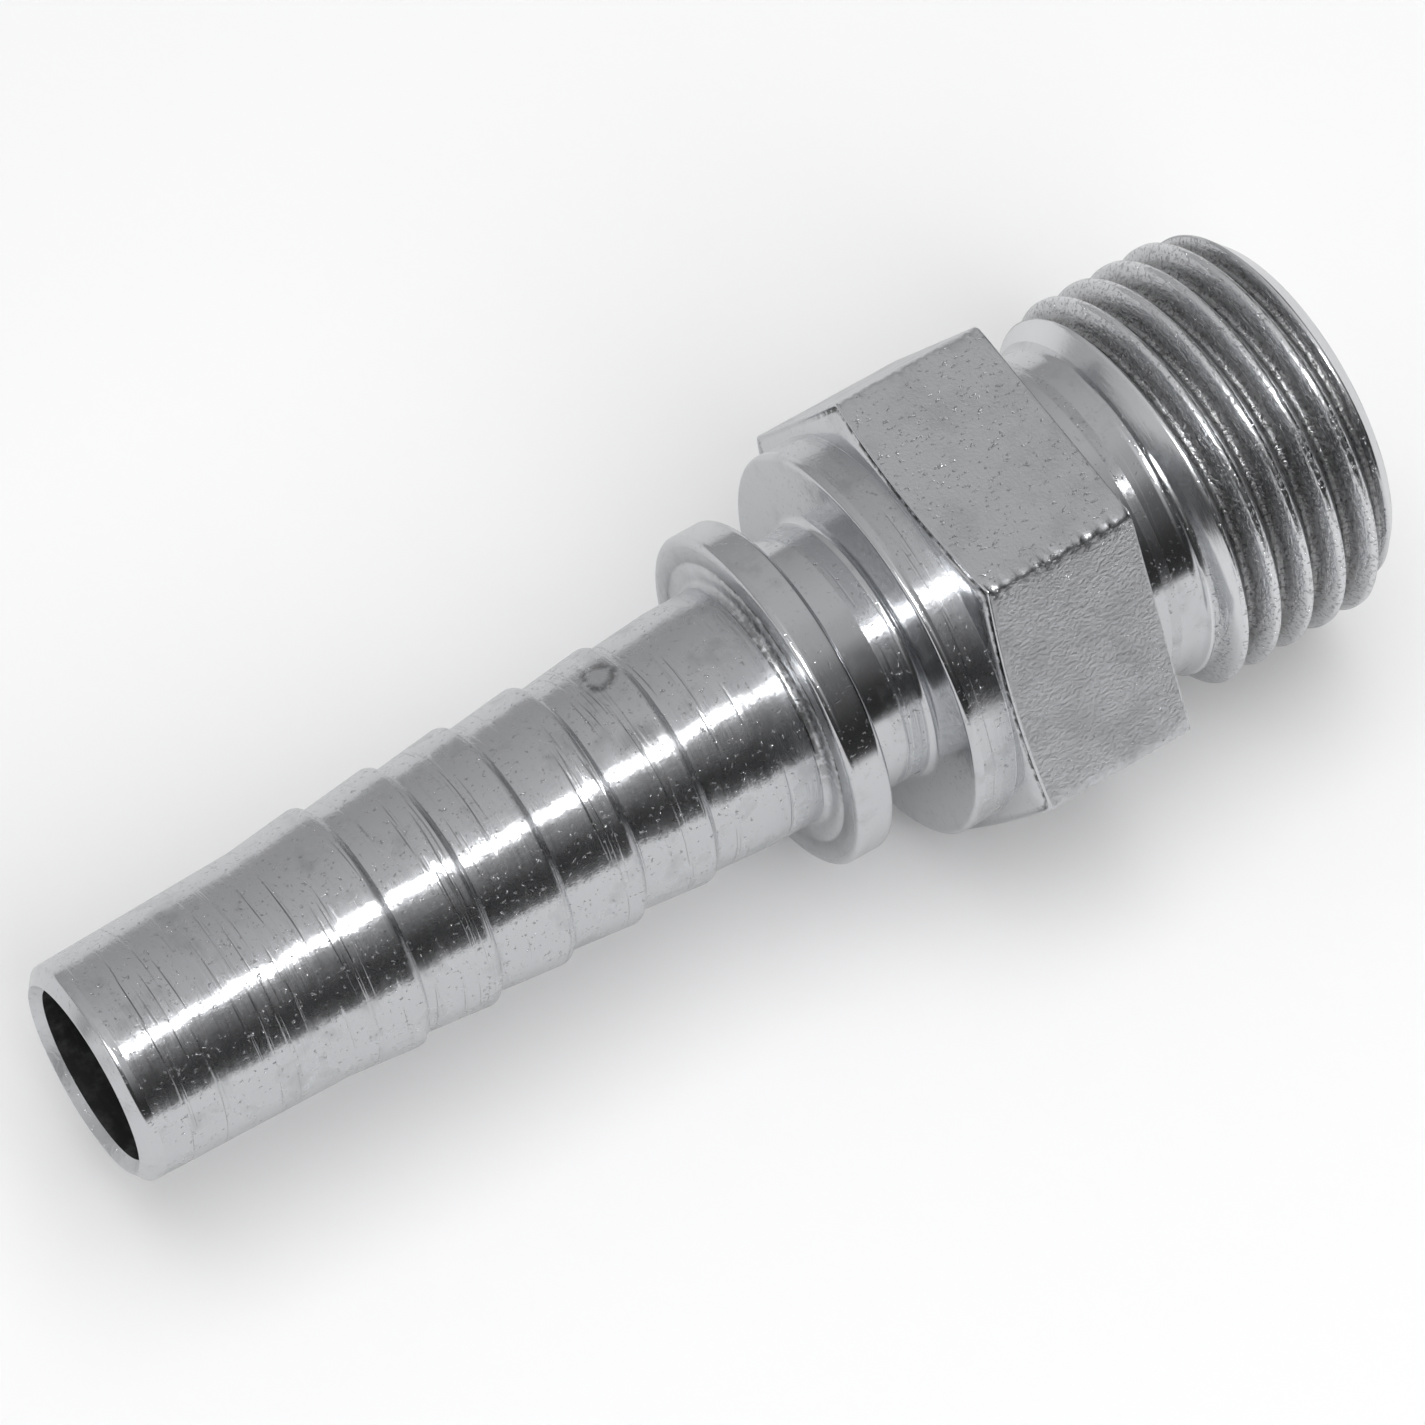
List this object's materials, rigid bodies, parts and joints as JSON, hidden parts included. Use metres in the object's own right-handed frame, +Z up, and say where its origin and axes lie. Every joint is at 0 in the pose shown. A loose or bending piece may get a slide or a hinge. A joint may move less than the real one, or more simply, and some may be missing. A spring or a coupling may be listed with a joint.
{
  "type": "straight male hose fitting",
  "caption": "One-piece straight hose fitting with a ridged hose tail, ferrule collar and neck, hexagon and metric male thread.",
  "frame": {"origin": "on the supporting surface under the middle of the fitting's length", "axes": "+X along the axis from the hose tail to the male thread, +Z up, with one flat of the hexagon facing down"},
  "size_m": [0.0534, 0.0196, 0.017],
  "materials": {
    "plated_steel": "bright zinc plate over turned and drawn steel"
  },
  "bodies": {
    "root": {"fitting_body": "plated_steel"}
  },
  "joints": []
}
